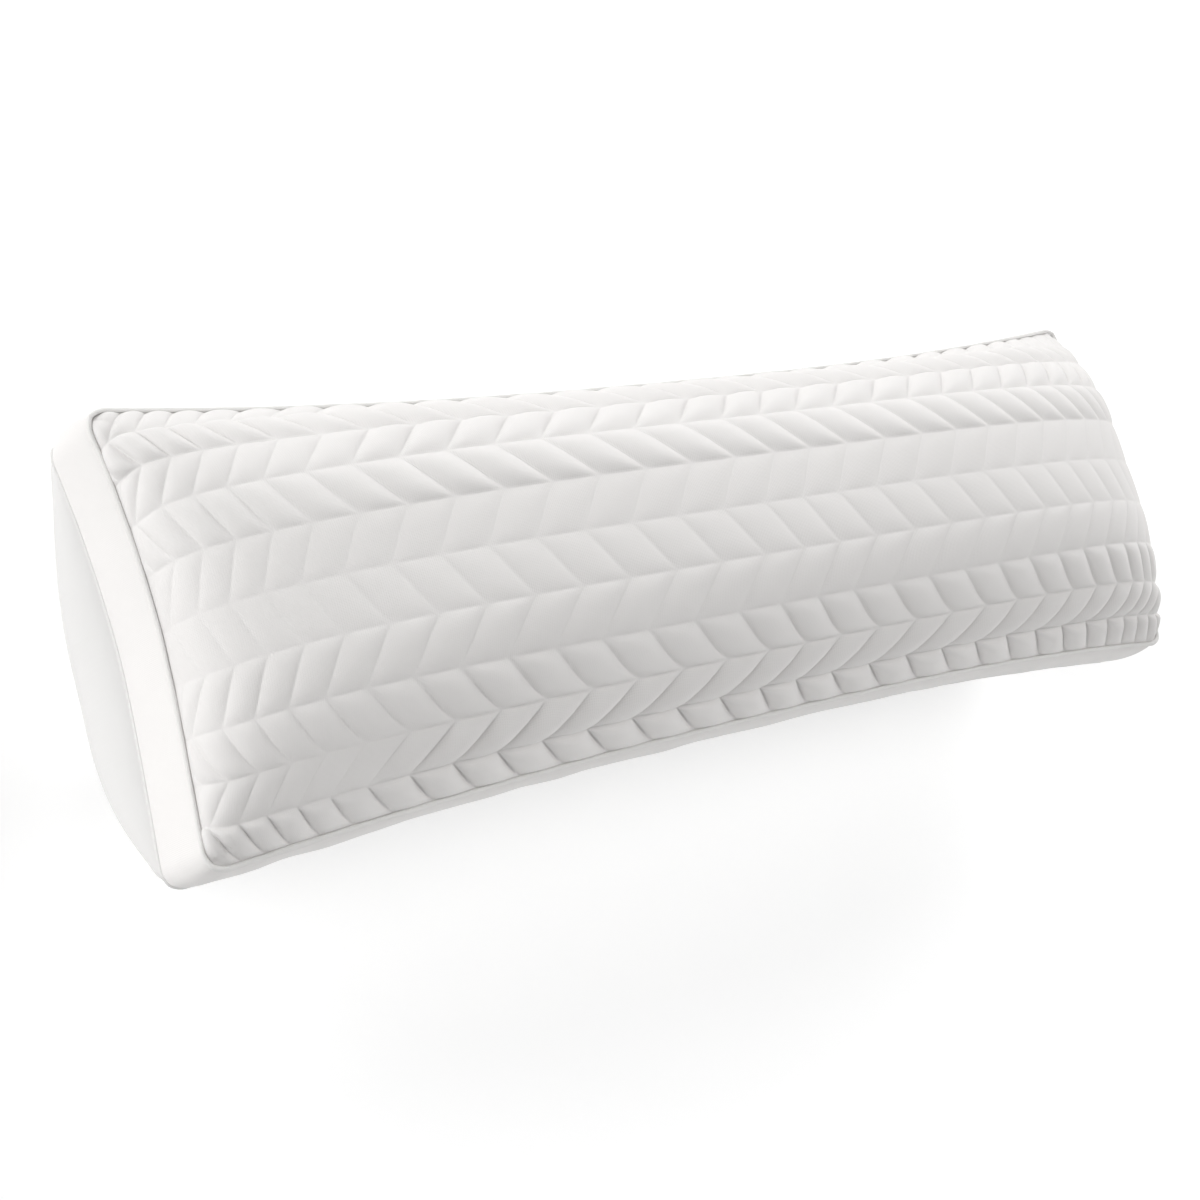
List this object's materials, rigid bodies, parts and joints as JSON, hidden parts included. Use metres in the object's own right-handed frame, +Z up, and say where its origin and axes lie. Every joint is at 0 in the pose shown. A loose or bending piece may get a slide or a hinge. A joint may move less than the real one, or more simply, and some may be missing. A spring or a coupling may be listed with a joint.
{
  "type": "body pillow",
  "caption": "Long boxed body pillow with a crowned herringbone-quilted front, plain side strip and plain bulging back, and a welt in both seams, lying on its back.",
  "frame": {"origin": "middle of the pillow's box, on the surface it lies on, which is the plane of the back's flat spot", "axes": "+X along the pillow's length, +Y across its width, +Z up, out of the quilted front"},
  "size_m": [1.3256, 0.4138, 0.3643],
  "materials": {
    "quilted_front": "soft matt knit with a fine rib, sewn into slanting puffed cells",
    "plain_strip": "smooth matt knit",
    "plain_back": "smooth matt knit",
    "front_welt": "smooth matt folded cloth over a thin cord",
    "back_welt": "smooth matt folded seam edge"
  },
  "bodies": {
    "root": {"front_panel": "quilted_front", "gusset": "plain_strip", "back_panel": "plain_back", "front_piping": "front_welt", "back_piping": "back_welt"}
  },
  "joints": []
}
